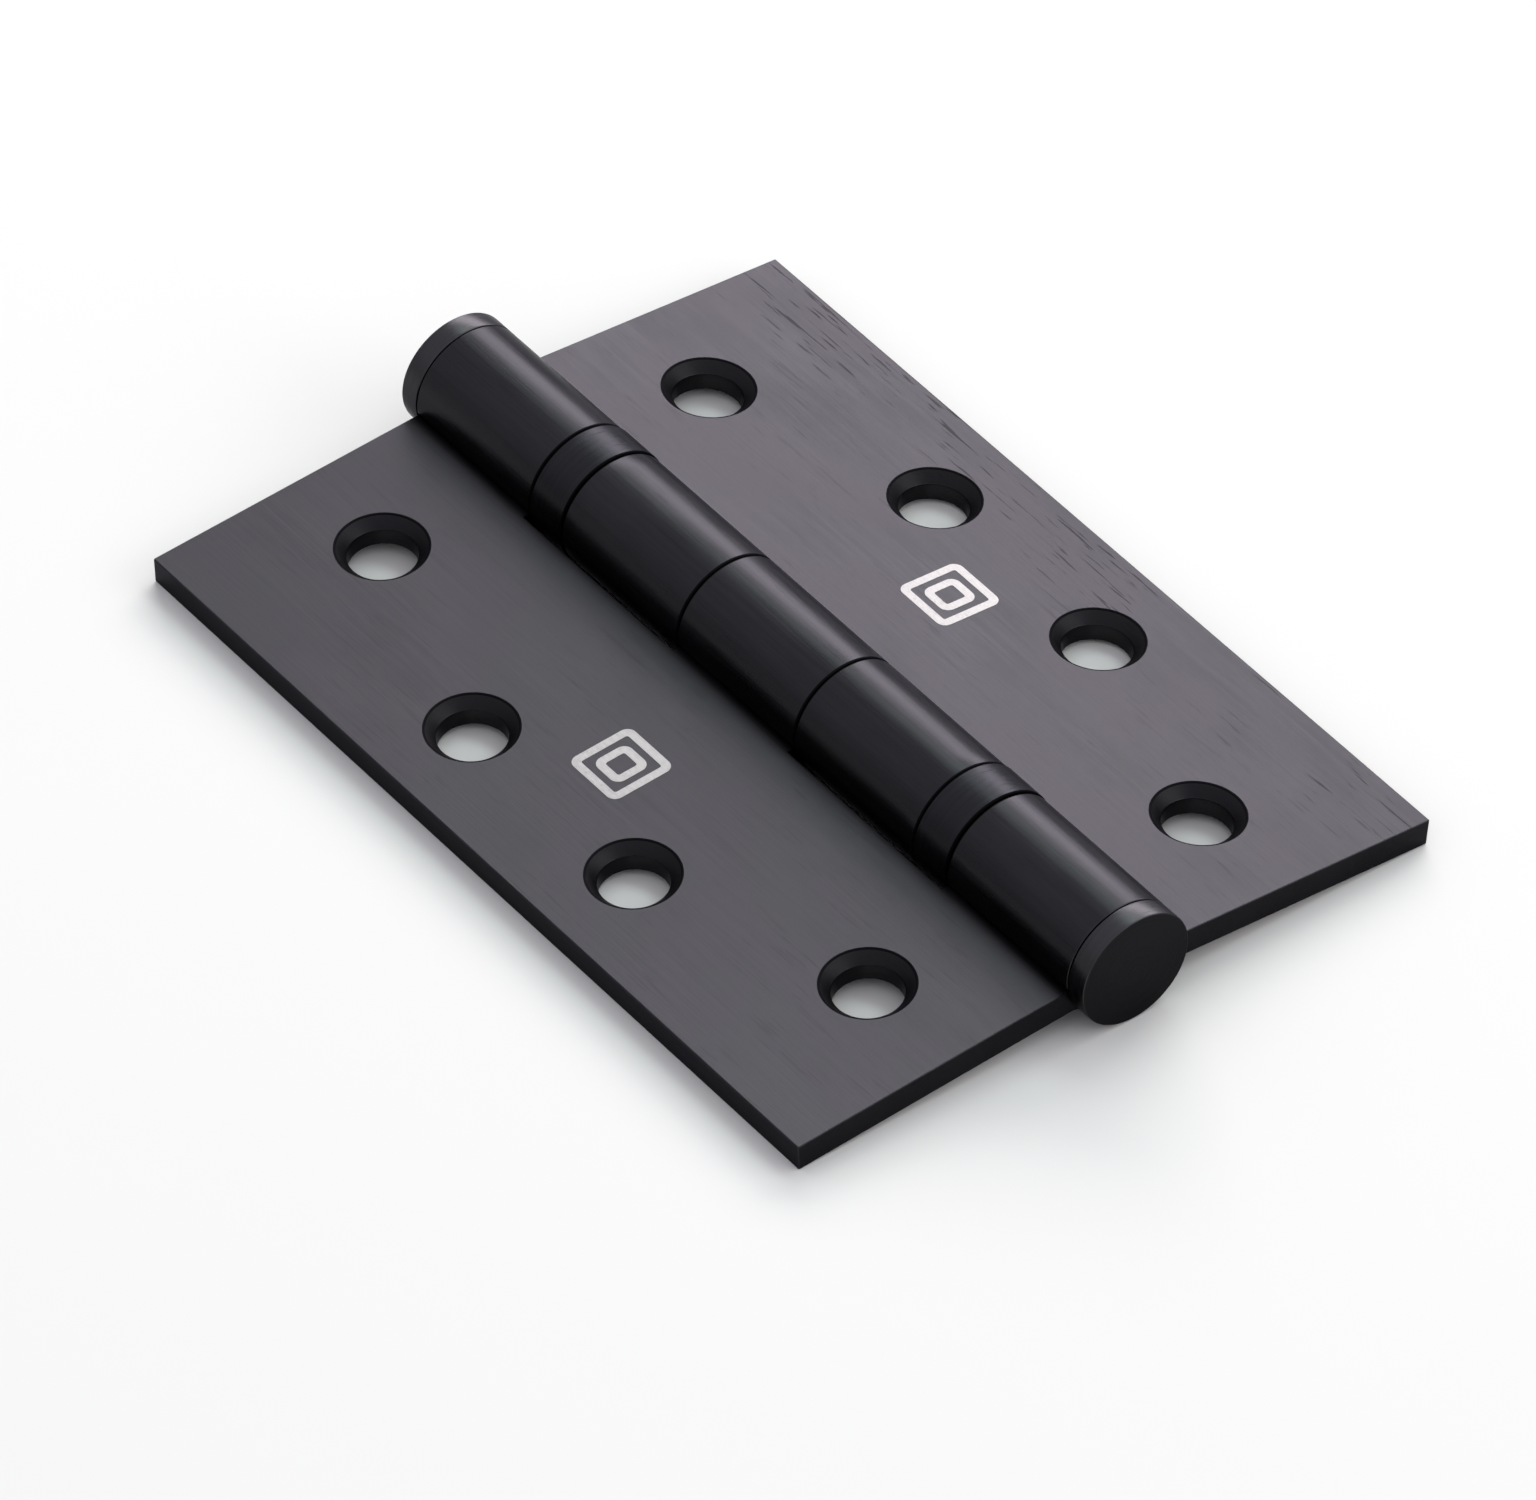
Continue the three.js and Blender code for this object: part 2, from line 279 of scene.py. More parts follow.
def roll_section():
    """The (x, z) outline of a knuckle, from the bore at the plate's face, round the bore, out
    along the curl's end, round the outside, and down the swage to the plate's back."""
    curl = -FACE_DROP + CURL_GAP
    bend_drop = BACK_DROP + SWAGE_RADIUS
    bend_x = math.sqrt((KNUCKLE_RADIUS + SWAGE_RADIUS) ** 2 - bend_drop**2)
    bend = math.atan2(bend_drop, bend_x)
    bore_start = math.asin(-FACE_DROP / BORE_RADIUS)
    bore_end = math.asin(curl / BORE_RADIUS) - 2 * math.pi
    outer_start = math.asin(curl / KNUCKLE_RADIUS)
    points = arc(0, 0, BORE_RADIUS, bore_start, bore_end, BORE_STEPS)
    points += arc(0, 0, KNUCKLE_RADIUS, outer_start, 2 * math.pi - bend, ROLL_STEPS)
    points += arc(
        bend_x, -bend_drop, SWAGE_RADIUS, math.pi - bend, math.pi / 2, SWAGE_STEPS
    )[1:]
    return points


def screw_holes():
    """(x, y) of the four holes, from the bottom up."""
    reaches = [END_HOLE_REACH, MIDDLE_HOLE_REACH, MIDDLE_HOLE_REACH, END_HOLE_REACH]
    return [(x, LEAF_BOTTOM + HOLE_PITCH * (i + 0.5)) for i, x in enumerate(reaches)]


def leaf_skin(knuckles):
    """One leaf towards +X. knuckles is a list of (low y, high y), from the bottom up. Lines
    across the plate, at each hole and half-way to the next, cut its broad faces into strips."""
    skin = Skin()
    roll = roll_section()
    holes = screw_holes()
    lines = [LEAF_BOTTOM + HOLE_PITCH * i / 2 for i in range(2 * HOLE_COUNT + 1)]
    stops = sorted({y for k in knuckles for y in k} - {LEAF_BOTTOM, LEAF_TOP})
    breaks = sorted(set(lines) | set(stops))

    def in_knuckle(y):
        return any(low < y < high for low, high in knuckles)

    def broad_face(z, knuckle_x, hole_radius):
        for i, (a, b) in enumerate(zip(lines, lines[1:])):
            hole_x, hole_y = holes[i // 2]
            below = i % 2 == 0
            inside = [y for y in stops if a < y < b]
            steps = [a, *inside, b]
            points = [(LEAF_WIDTH, a, z), (LEAF_WIDTH, b, z)]
            half = HOLE_STEPS // 2
            if below:
                points += [
                    (x, y, z)
                    for x, y in arc(hole_x, hole_y, hole_radius, 0, -math.pi, half)
                ]
            for low, high in reversed(list(zip(steps, steps[1:]))):
                x = knuckle_x if in_knuckle((low + high) / 2) else NOTCH_REACH
                points += [(x, high, z), (x, low, z)]
            if not below:
                points += [
                    (x, y, z)
                    for x, y in arc(hole_x, hole_y, hole_radius, math.pi, 0, half)
                ]
            skin.face(points)

    broad_face(-FACE_DROP, roll[0][0], COUNTERSINK_RADIUS)
    broad_face(-BACK_DROP, roll[-1][0], HOLE_RADIUS)

    for a, b in zip(lines, lines[1:]):
        skin.face([(LEAF_WIDTH, y, z) for y, z in wall(a, b)])
    for a, b in zip(breaks, breaks[1:]):
        if in_knuckle((a + b) / 2):
            for p, q in zip(roll, roll[1:]):
                skin.face([(p[0], a, p[1]), (q[0], a, q[1]), (q[0], b, q[1]), (p[0], b, p[1])])
        else:
            skin.face([(NOTCH_REACH, y, z) for y, z in wall(a, b)])
    for low, high in knuckles:
        for y in (low, high):
            reach = LEAF_WIDTH if y in (LEAF_BOTTOM, LEAF_TOP) else NOTCH_REACH
            start = [(reach, y, -BACK_DROP), (reach, y, -FACE_DROP)]
            skin.face(start + [(x, y, z) for x, z in roll])
    for y in (LEAF_BOTTOM, LEAF_TOP):
        if not any(y in k for k in knuckles):
            skin.face(
                [
                    (NOTCH_REACH, y, -BACK_DROP),
                    (NOTCH_REACH, y, -FACE_DROP),
                    (LEAF_WIDTH, y, -FACE_DROP),
                    (LEAF_WIDTH, y, -BACK_DROP),
                ]
            )
    levels = [
        (COUNTERSINK_RADIUS, -FACE_DROP),
        (HOLE_RADIUS, -FACE_DROP - (COUNTERSINK_RADIUS - HOLE_RADIUS)),
        (HOLE_RADIUS, -BACK_DROP),
    ]
    for x, y in holes:
        rings = [
            [(px, py, z) for px, py in arc(x, y, radius, 0, 2 * math.pi, HOLE_STEPS)]
            for radius, z in levels
        ]
        for upper, lower in zip(rings, rings[1:]):
            for i in range(HOLE_STEPS):
                skin.face([upper[i], upper[i + 1], lower[i + 1], lower[i]])
    return skin


def wall(a, b):
    """(y, z) corners of a piece of the plate's side from y = a to y = b."""
    return [(a, -BACK_DROP), (b, -BACK_DROP), (b, -FACE_DROP), (a, -FACE_DROP)]


def is_convex(edge):
    """Whether an edge is a sharp outside corner."""
    return edge.is_manifold and edge.calc_face_angle_signed(0) > SHARP


def near_hole(edge):
    """Whether an edge runs round a screw hole, on either face."""
    middle = (edge.verts[0].co + edge.verts[1].co) / 2 / MM
    return any(
        math.hypot(middle.x - x, middle.y - y) < COUNTERSINK_RADIUS + HOLE_MARGIN
        for x, y in screw_holes()
    )


def is_cone(face):
    """Whether a face is part of a countersink's slope."""
    middle = face.calc_center_median() / MM
    return CONE_TILT[0] < abs(face.normal.z) < CONE_TILT[1] and any(
        HOLE_RADIUS < math.hypot(middle.x - x, middle.y - y) < COUNTERSINK_RADIUS
        for x, y in screw_holes()
    )


def is_seam_edge(edge):
    """Whether an edge runs round a knuckle's end that meets another knuckle or a shell."""
    first, second = (v.co / MM for v in edge.verts)
    return (
        all(abs(math.hypot(p.x, p.z) - KNUCKLE_RADIUS) < TOUCH for p in (first, second))
        and abs(first.y - second.y) < TOUCH
        and LEAF_BOTTOM + TOUCH < first.y < LEAF_TOP - TOUCH
    )


def leaf_mesh(knuckles):
    """The leaf with its edges rounded, and with cones, seams and rims marked as shaded."""
    bm = leaf_skin(knuckles).to_bmesh()
    layer = bm.faces.layers.float["edge"]
    for f in bm.faces:
        if is_cone(f):
            f[layer] = CONE_SHADE
    sharp = [e for e in bm.edges if is_convex(e)]
    rims = [e for e in sharp if near_hole(e)]
    seams = [e for e in sharp if is_seam_edge(e)]
    outline = [e for e in sharp if not near_hole(e) and not is_seam_edge(e)]
    soften(bm, outline, PLATE_EDGE)
    soften(bm, [e for e in seams if e.is_valid], SEAM_EDGE, SHADED)
    rims = [e for e in rims if e.is_valid]
    face_level = (-FACE_DROP - TOUCH) * MM
    top_rims = [e for e in rims if min(v.co.z for v in e.verts) > face_level]
    soften(bm, [e for e in rims if e not in top_rims], UNDER_RIM_EDGE, PLAIN)
    soften(bm, [e for e in top_rims if e.is_valid], RIM_EDGE, SHADED)
    return bm


def leaf_slope(is_left):
    """Turns a leaf's own frame about the pin's axis, so that it slopes down to its outer edge."""
    if is_left:
        return Matrix.Rotation(-LEAF_TILT, 4, "Y") @ Matrix.Rotation(math.pi, 4, "Z")
    return Matrix.Rotation(LEAF_TILT, 4, "Y")


# ---------------------------------------------------------------- turned pieces


def rounded(profile, radius):
    """Rounds every corner of a closed (r, y) outline, and says which points are on a corner."""
    points, is_corner = [], []
    count = len(profile)
    for i, here in enumerate(profile):
        before, after = Vector(profile[i - 1]), Vector(profile[(i + 1) % count])
        here = Vector(here)
        to_before, to_after = before - here, after - here
        turn = to_before.angle(to_after)
        if here.x < ON_AXIS or abs(math.pi - turn) < SHARP:
            points.append(tuple(here))
            is_corner.append(False)
            continue
        back = radius / math.tan(turn / 2)
        back = min(back, to_before.length * CORNER_SHARE, to_after.length * CORNER_SHARE)
        start = here + to_before.normalized() * back
        end = here + to_after.normalized() * back
        for s in range(EDGE_STEPS + 1):
            t = s / EDGE_STEPS
            points.append(tuple(start * (1 - t) ** 2 + here * 2 * t * (1 - t) + end * t**2))
            is_corner.append(s < EDGE_STEPS)
    return points, is_corner


def turned(profile, radius, steps=TURNED_STEPS, turned_over=False, mark=RUBBED):
    """A closed (r, y) outline turned round the Y axis. Its rounded corners get the mark."""
    points, is_corner = rounded(profile, radius)
    if turned_over:
        points = [(r, -y) for r, y in points]
    skin = Skin()
    count = len(points)
    for i in range(count):
        p, q = points[i], points[(i + 1) % count]
        if p[0] < ON_AXIS and q[0] < ON_AXIS:
            continue
        for s in range(steps):
            a, b = (2 * math.pi * (s + k) / steps for k in (0, 1))
            skin.face(
                [
                    (p[0] * math.cos(a), p[1], p[0] * math.sin(a)),
                    (q[0] * math.cos(a), q[1], q[0] * math.sin(a)),
                    (q[0] * math.cos(b), q[1], q[0] * math.sin(b)),
                    (p[0] * math.cos(b), p[1], p[0] * math.sin(b)),
                ],
                is_corner[i],
            )
    return skin.to_bmesh(mark)


def groove(level, face):
    """Half the angle that a race's face cuts out of the ball track's circle."""
    return math.acos(abs(level - face) / GROOVE_RADIUS)


def seat_race_profile():
    """The grooved washer on the shell's floor, as (r, y) from the bearing's middle."""
    half = groove(BALL_LEVEL, SEAT_FACE)
    down = -math.pi / 2
    return [
        (RACE_INNER, SEAT_UNDER),
        (RACE_OUTER, SEAT_UNDER),
        (RACE_OUTER, SEAT_FACE),
        *arc(PITCH_RADIUS, BALL_LEVEL, GROOVE_RADIUS, down + half, down - half, GROOVE_STEPS),
        (RACE_INNER, SEAT_FACE),
    ]


def cover_race_profile():
    """The grooved washer that closes the shell."""
    half = groove(BALL_LEVEL, COVER_FACE)
    up = math.pi / 2
    return [
        (RACE_INNER, COVER_FACE),
        *arc(PITCH_RADIUS, BALL_LEVEL, GROOVE_RADIUS, up + half, up - half, GROOVE_STEPS),
        (RACE_OUTER, COVER_FACE),
        (RACE_OUTER, BEARING_HEIGHT / 2),
        (RACE_INNER, BEARING_HEIGHT / 2),
    ]


def shell_profile():
    """The cup that holds a bearing, open towards +Y."""
    under = -BEARING_HEIGHT / 2
    rim = BEARING_HEIGHT / 2 - SHELL_RIM_GAP
    inside = BEARING_RADIUS - SHELL_WALL
    return [
        (RACE_INNER, under),
        (BEARING_RADIUS, under),
        (BEARING_RADIUS, rim),
        (inside, rim),
        (inside, FLOOR_TOP),
        (RACE_INNER, FLOOR_TOP),
    ]


def cap_profile():
    """A flat button with its stem, pointing to +Y from the middle of the pin."""
    under = LEAF_TOP + SHOWN_SEAM
    face = LEAF_TOP + SEAM / 2 + CAP_THICKNESS
    stem_end = LEAF_TOP - SPIGOT_LENGTH
    return [
        (0, stem_end),
        (SPIGOT_RADIUS, stem_end),
        (SPIGOT_RADIUS, under),
        (KNUCKLE_RADIUS, under),
        (KNUCKLE_RADIUS, face),
        (0, face),
    ]


def pin_profile():
    """The straight pin, from one cap's stem to the other's."""
    half = LEAF_TOP - SPIGOT_LENGTH - SEAM
    return [(0, -half), (PIN_RADIUS, -half), (PIN_RADIUS, half), (0, half)]


def ball_mesh():
    """A ball at its own origin."""
    half_circle = arc(0, 0, BALL_RADIUS, -math.pi / 2, math.pi / 2, BALL_STEPS // 2)
    return turned(half_circle, 0.0, BALL_STEPS)


def cage_mesh(level):
    """The flat ring with a pocket for each ball."""
    skin = Skin()
    heights = (level - CAGE_THICKNESS / 2, level + CAGE_THICKNESS / 2)
    step = 2 * math.pi / BALL_COUNT

    def turn(points, angle, y):
        c, s = math.cos(angle), math.sin(angle)
        return [(px * c - pz * s, y, px * s + pz * c) for px, pz in points]

    for i in range(BALL_COUNT):
        for side in (1, -1):
            pocket = arc(PITCH_RADIUS, 0, POCKET_RADIUS, 0, side * math.pi, POCKET_STEPS)
            outer = arc(0, 0, CAGE_OUTER, 0, side * step / 2, CAGE_STEPS)
            inner = arc(0, 0, CAGE_INNER, 0, side * step / 2, CAGE_STEPS)
            low, high = (
                {
                    "pocket": turn(pocket, i * step, y),
                    "outer": turn(outer, i * step, y),
                    "inner": turn(inner, i * step, y),
                }
                for y in heights
            )
            for part in (low, high):
                skin.face(part["outer"] + part["inner"][::-1] + part["pocket"][::-1])
            for key in ("pocket", "outer", "inner"):
                for j in range(len(low[key]) - 1):
                    skin.face([low[key][j], low[key][j + 1], high[key][j + 1], high[key][j]])
    bm = skin.to_bmesh()
    soften(bm, [e for e in bm.edges if is_convex(e)], CAGE_EDGE)
    return bm


# ---------------------------------------------------------------- blank label frame

# Its middle on the plate, then each frame's half sides and the width of its band
LABEL_PLACE = (20.2, 0.3)
LABEL_RINGS = [(3.7, 3.6, 0.9), (2.05, 1.95, 0.9)]
LABEL_CORNER = 1.0
LABEL_LEAST_CORNER = 0.25
LABEL_RISE = 0.015
LABEL_SINK = 0.02


def label_mesh():
    """Two plain concentric frames with nothing in them, etched just proud of the plate's face."""
    skin = Skin()
    levels = (-FACE_DROP - LABEL_SINK, -FACE_DROP + LABEL_RISE)

    def loop(half_x, half_y, corner, z):
        points = []
        for sx, sy, start in ((1, 1, 0), (-1, 1, 1), (-1, -1, 2), (1, -1, 3)):
            cx = LABEL_PLACE[0] + sx * (half_x - corner)
            cy = LABEL_PLACE[1] + sy * (half_y - corner)
            begin = start * math.pi / 2
            end = begin + math.pi / 2
            points += [(x, y, z) for x, y in arc(cx, cy, corner, begin, end, LABEL_STEPS)]
        return points

    for half_x, half_y, band in LABEL_RINGS:
        inside = max(LABEL_CORNER - band, LABEL_LEAST_CORNER)
        loops = []
        for z in levels:
            loops.append(loop(half_x, half_y, LABEL_CORNER, z))
            loops.append(loop(half_x - band, half_y - band, inside, z))
        low_out, low_in, high_out, high_in = loops
        sides = ((low_out, low_in), (high_out, high_in), (low_out, high_out), (low_in, high_in))
        count = len(low_out)
        for i in range(count):
            j = (i + 1) % count
            for a, b in sides:
                skin.face([a[i], a[j], b[j], b[i]])
    return skin.to_bmesh()


# ---------------------------------------------------------------- materials

# Patterns: scale, detail and roughness. The first four are scaled per metre along x, y and z. The
# strokes and scratches are scaled against the brush stroke, across it and along it.
CLOUDS = ((140.0, 60.0, 140.0), 3.0, 0.55)
PATCHES = ((95.0, 60.0, 95.0), 1.0, 0.5)
DRIFT = ((70.0, 45.0, 70.0), 2.0, 0.6)
RUBBING = ((900.0, 500.0, 900.0), 3.0, 0.6)
FINE_STROKES = ((1.0, 1.0), 3.0, 0.65)
COARSE_STROKES = ((0.25, 0.5), 3.0, 0.6)
PLATE_SCRATCHES = ((0.45, 1.6), 2.0, 0.5)
TURNED_SCRATCHES = ((0.5, 1.3), 2.0, 0.5)

# Where in a pattern's values, or between which ways of facing, an effect comes in
TONE_RANGE = (0.36, 0.64)
PATCH_RANGE = (0.43, 0.53)
SCRATCH_RANGE = (0.605, 0.68)
DRIFT_RANGE = (0.40, 0.62)
RUBBING_RANGE = (0.35, 0.65)
BROAD_FACE_RANGE = (0.86, 0.96)
END_FACE_RANGE = (0.8, 0.95)

# Shares of the tone
FINE_SHARE = 0.3
COARSE_SHARE = 0.3
CLOUD_SHARE = 0.4

# Factors on a finish's dark and light colours, and how much of the colour a shaded face loses
# PALER and DARKER make the painted light and shade that drift across the plates
PALER = 1.3
DARKER = 0.7
SCRATCH_TONE = 0.45
SHADE_TONE = 0.08
SHADE_COVER = 0.9
LEAST_RUBBING = 0.3
LEAST_SCRATCHES = 0.25

# The barrel's roughness, and what is added to any finish's, which the middle tone leaves alone
BARREL_ROUGHNESS = 0.31
MIDDLE_TONE = 0.5
ROUGH_BY_TONE = 0.1
ROUGH_BY_SCRATCH = 0.1
ROUGH_BY_SHADE = 0.3
SMOOTH_BY_WEAR = 0.1

# Relief of scratches and coarse strokes against that of the fine strokes
SCRATCH_DEPTH = 0.8
COARSE_HEIGHT = 1.5

# Distances from the pin's axis, in metres, between which the barrel's tone becomes the plate's
BARREL_TO_PLATE = (0.0064, 0.0076)

# How the painted light and shade drift from corner to corner of the plates: metres, and square metres
PAINTED_LIGHT_CENTRE = 0.012
PAINTED_LIGHT_REACH = 0.0025


class Nodes:
    """Short names for the few node kinds that the finishes use."""

    def __init__(self, name):
        self.material = bpy.data.materials.new(name)
        self.material.use_nodes = True
        self.tree = self.material.node_tree
        self.shader = self.tree.nodes["Principled BSDF"]

    def add(self, kind, **settings):
        node = self.tree.nodes.new(kind)
        for key, value in settings.items():
            setattr(node, key, value)
        return node

    def link(self, source, target):
        self.tree.links.new(source, target)

    def put(self, socket, value):
        if isinstance(value, bpy.types.NodeSocket):
            self.link(value, socket)
        else:
            socket.default_value = value

    def maths(self, operation, a, b=0.0, clamp=False):
        node = self.add("ShaderNodeMath", operation=operation, use_clamp=clamp)
        self.put(node.inputs[0], a)
        self.put(node.inputs[1], b)
        return node.outputs[0]

    def scaled(self, vector, scale):
        node = self.add("ShaderNodeVectorMath", operation="MULTIPLY")
        self.put(node.inputs[0], vector)
        node.inputs[1].default_value = scale
        return node.outputs[0]

    def noise(self, vector, detail, roughness):
        node = self.add("ShaderNodeTexNoise")
        self.link(vector, node.inputs["Vector"])
        node.inputs["Scale"].default_value = 1.0
        node.inputs["Detail"].default_value = detail
        node.inputs["Roughness"].default_value = roughness
        return node.outputs["Fac"]

    def between(self, value, low, high, to_low=0.0, to_high=1.0):
        node = self.add("ShaderNodeMapRange", interpolation_type="SMOOTHSTEP")
        self.put(node.inputs["Value"], value)
        node.inputs["From Min"].default_value = low
        node.inputs["From Max"].default_value = high
        node.inputs["To Min"].default_value = to_low
        node.inputs["To Max"].default_value = to_high
        return node.outputs["Result"]

    def mix(self, factor, a, b):
        """Two colours mixed. A Mix node's colours are its inputs 6 and 7 and its output 2."""
        node = self.add("ShaderNodeMix", data_type="RGBA")
        self.put(node.inputs["Factor"], factor)
        for socket, value in ((node.inputs[6], a), (node.inputs[7], b)):
            self.put(socket, value if isinstance(value, bpy.types.NodeSocket) else (*value, 1.0))
        return node.outputs[2]


def coordinate(n, point, axis):
    """One coordinate of a point: axis 0 is x, 1 is y and 2 is z."""
    parts = n.add("ShaderNodeSeparateXYZ")
    n.link(point, parts.inputs[0])
    return parts.outputs[axis]


def facing(n, axis):
    """How squarely the surface faces along an axis of its own frame, either way, from 0 to 1."""
    normal = n.add("ShaderNodeTexCoord").outputs["Normal"]
    return n.maths("ABSOLUTE", coordinate(n, normal, axis))


def round_the_axis(n, point):
    """The point as (distance from the pin's axis, height along it, angle round it)."""
    x, y, z = (coordinate(n, point, axis) for axis in range(3))
    across, down = n.maths("MULTIPLY", x, x), n.maths("MULTIPLY", z, z)
    return n.maths("SQRT", n.maths("ADD", across, down)), y, n.maths("ARCTAN2", z, x)


def unrolled(n, point):
    """The point as if the barrel's surface were rolled out flat."""
    radius, height, angle = round_the_axis(n, point)
    joined = n.add("ShaderNodeCombineXYZ")
    n.link(radius, joined.inputs[0])
    n.link(height, joined.inputs[1])
    n.link(n.maths("MULTIPLY", angle, KNUCKLE_RADIUS * MM), joined.inputs[2])
    return joined.outputs[0]


def pattern(n, point, kind):
    """One of the patterns above, from 0 to 1."""
    scale, detail, roughness = kind
    return n.noise(n.scaled(point, scale), detail, roughness)


def brushed_pattern(n, point, kind, grain, is_turned):
    """A pattern stretched along the brush strokes. They run along y on plates, and along z on
    turned pieces, whose unrolled surface has z round the pin."""
    (width, length), detail, roughness = kind
    across = 1 / (grain[0] * MM) * width
    along = 1 / (grain[1] * MM) * length
    scale = (across, across, along) if is_turned else (across, along, across)
    return pattern(n, point, (scale, detail, roughness))


def mixed_tone(n, fine, coarse, clouds):
    """Brush strokes and clouds together, from 0 for dark to 1 for light."""
    tone = n.maths("MULTIPLY", fine, FINE_SHARE)
    tone = n.maths("ADD", tone, n.maths("MULTIPLY", coarse, COARSE_SHARE))
    tone = n.maths("ADD", tone, n.maths("MULTIPLY", clouds, CLOUD_SHARE))
    return n.between(tone, *TONE_RANGE)


def add_painted_light_drift(n, point, colour, dark, light, amount):
    """The colour, with painted light towards two opposite corners of the plates and painted shade
    towards the rest.
    """
    lit_side = n.maths("SUBTRACT", coordinate(n, point, 0), PAINTED_LIGHT_CENTRE)
    lit_side = n.maths("MULTIPLY", lit_side, coordinate(n, point, 1))
    paler = tuple(c * PALER for c in light)
    darker = tuple(c * DARKER for c in dark)
    colour = n.mix(n.between(lit_side, 0.0, PAINTED_LIGHT_REACH, 0.0, amount), colour, paler)
    return n.mix(n.between(lit_side, -PAINTED_LIGHT_REACH, 0.0, amount, 0.0), colour, darker)


def on_plate(n, point):
    """1 on a leaf's broad faces, 0 on its barrel and its narrow sides."""
    away = n.between(round_the_axis(n, point)[0], *BARREL_TO_PLATE)
    return n.maths("MULTIPLY", away, n.between(facing(n, 2), *BROAD_FACE_RANGE))


def finish(
    name,
    dark,
    light,
    roughness,
    grain,
    is_turned=False,
    edge_tint=(0.8, 0.8, 0.82),
    worn=(0.1, 0.1, 0.1),
    wear=0.35,
    scratches=0.3,
    bump=0.006,
    barrel_tone_and_side_shade=None,
    painted_end_shade=0.0,
    scratched_side=None,
    cast=None,
    painted_light_drift=0.0,
):
    """A metal finish. Its colour goes from dark to light, with drifts of cast. grain is the width and
    length of one brush stroke in millimetres, along the pin on plates and round the pin on turned
    pieces. bump is in millimetres, as are the two values of x in scratched_side, between which the
    scratches come in. The barrel tone is the dark and light colour of a leaf's barrel. The leaf's
    narrow sides and hole walls take it too, and there it is painted shade. The end shade is painted
    shade on faces that look along the pin, and the light drift is painted light and shade across the
    plates."""
    n = Nodes(name)
    point = n.add("ShaderNodeTexCoord").outputs["Object"]
    surface = unrolled(n, point) if is_turned else point
    marks = TURNED_SCRATCHES if is_turned else PLATE_SCRATCHES
    fine = brushed_pattern(n, surface, FINE_STROKES, grain, is_turned)
    coarse = brushed_pattern(n, surface, COARSE_STROKES, grain, is_turned)
    scratch = brushed_pattern(n, surface, marks, grain, is_turned)
    patch = n.between(pattern(n, point, PATCHES), *PATCH_RANGE)
    scratch = n.maths("MULTIPLY", n.between(scratch, *SCRATCH_RANGE), patch)
    tone = mixed_tone(n, fine, coarse, pattern(n, point, CLOUDS))

    rough = roughness
    colour = n.mix(tone, dark, light)
    if cast:
        colour = n.mix(n.between(pattern(n, point, DRIFT), *DRIFT_RANGE), colour, cast)
    # Painted light and shade: the plates grow paler towards two opposite corners and darker towards the
    # others
    if painted_light_drift:
        colour = add_painted_light_drift(n, point, colour, dark, light, painted_light_drift)
    # The barrel's tone also goes on the plates' narrow sides and hole walls, where it is painted shade
    if barrel_tone_and_side_shade:
        flat = on_plate(n, point)
        colour = n.mix(flat, n.mix(tone, *barrel_tone_and_side_shade), colour)
        rough = n.between(flat, 0.0, 1.0, BARREL_ROUGHNESS, roughness)
    if scratched_side:
        start, end = (x * MM for x in scratched_side)
        towards = n.between(coordinate(n, point, 0), start, end, LEAST_SCRATCHES, 1.0)
        scratch = n.maths("MULTIPLY", scratch, towards)
    scratch_colour = tuple(c * SCRATCH_TONE for c in dark)
    colour = n.mix(n.maths("MULTIPLY", scratch, scratches), colour, scratch_colour)
    # Painted shade: faces that look along the pin, the caps' ends and the plates' ends, are darkened
    # towards black
    if painted_end_shade:
        ends = n.between(facing(n, 1), *END_FACE_RANGE, 0.0, painted_end_shade)
        colour = n.mix(ends, colour, (0.0, 0.0, 0.0))

    edge = n.add("ShaderNodeAttribute", attribute_name="edge").outputs["Fac"]
    rubbed = n.between(pattern(n, point, RUBBING), *RUBBING_RANGE, LEAST_RUBBING, 1.0)
    worn_here = n.maths("MULTIPLY", n.maths("MULTIPLY", edge, rubbed, clamp=True), wear)
    colour = n.mix(worn_here, colour, worn)
    shaded = n.maths("MULTIPLY", edge, -SHADE_COVER, clamp=True)
    colour = n.mix(shaded, colour, tuple(c * SHADE_TONE for c in dark))
    n.link(colour, n.shader.inputs["Base Color"])

    off_tone = n.maths("SUBTRACT", tone, MIDDLE_TONE)
    rough = n.maths("ADD", rough, n.maths("MULTIPLY", off_tone, ROUGH_BY_TONE))
    rough = n.maths("SUBTRACT", rough, n.maths("MULTIPLY", worn_here, SMOOTH_BY_WEAR))
    rough = n.maths("ADD", rough, n.maths("MULTIPLY", shaded, ROUGH_BY_SHADE))
    rough = n.maths("ADD", rough, n.maths("MULTIPLY", scratch, ROUGH_BY_SCRATCH))
    n.link(rough, n.shader.inputs["Roughness"])

    relief = n.add("ShaderNodeBump")
    relief.inputs["Distance"].default_value = bump * MM
    relief.inputs["Strength"].default_value = 1.0
    height = n.maths("SUBTRACT", fine, n.maths("MULTIPLY", scratch, SCRATCH_DEPTH))
    height = n.maths("ADD", height, n.maths("MULTIPLY", coarse, COARSE_HEIGHT))
    n.link(height, relief.inputs["Height"])
    n.link(relief.outputs[0], n.shader.inputs["Normal"])
    n.shader.inputs["Metallic"].default_value = 1.0
    n.shader.inputs["Specular Tint"].default_value = (*edge_tint, 1.0)
    return n.material


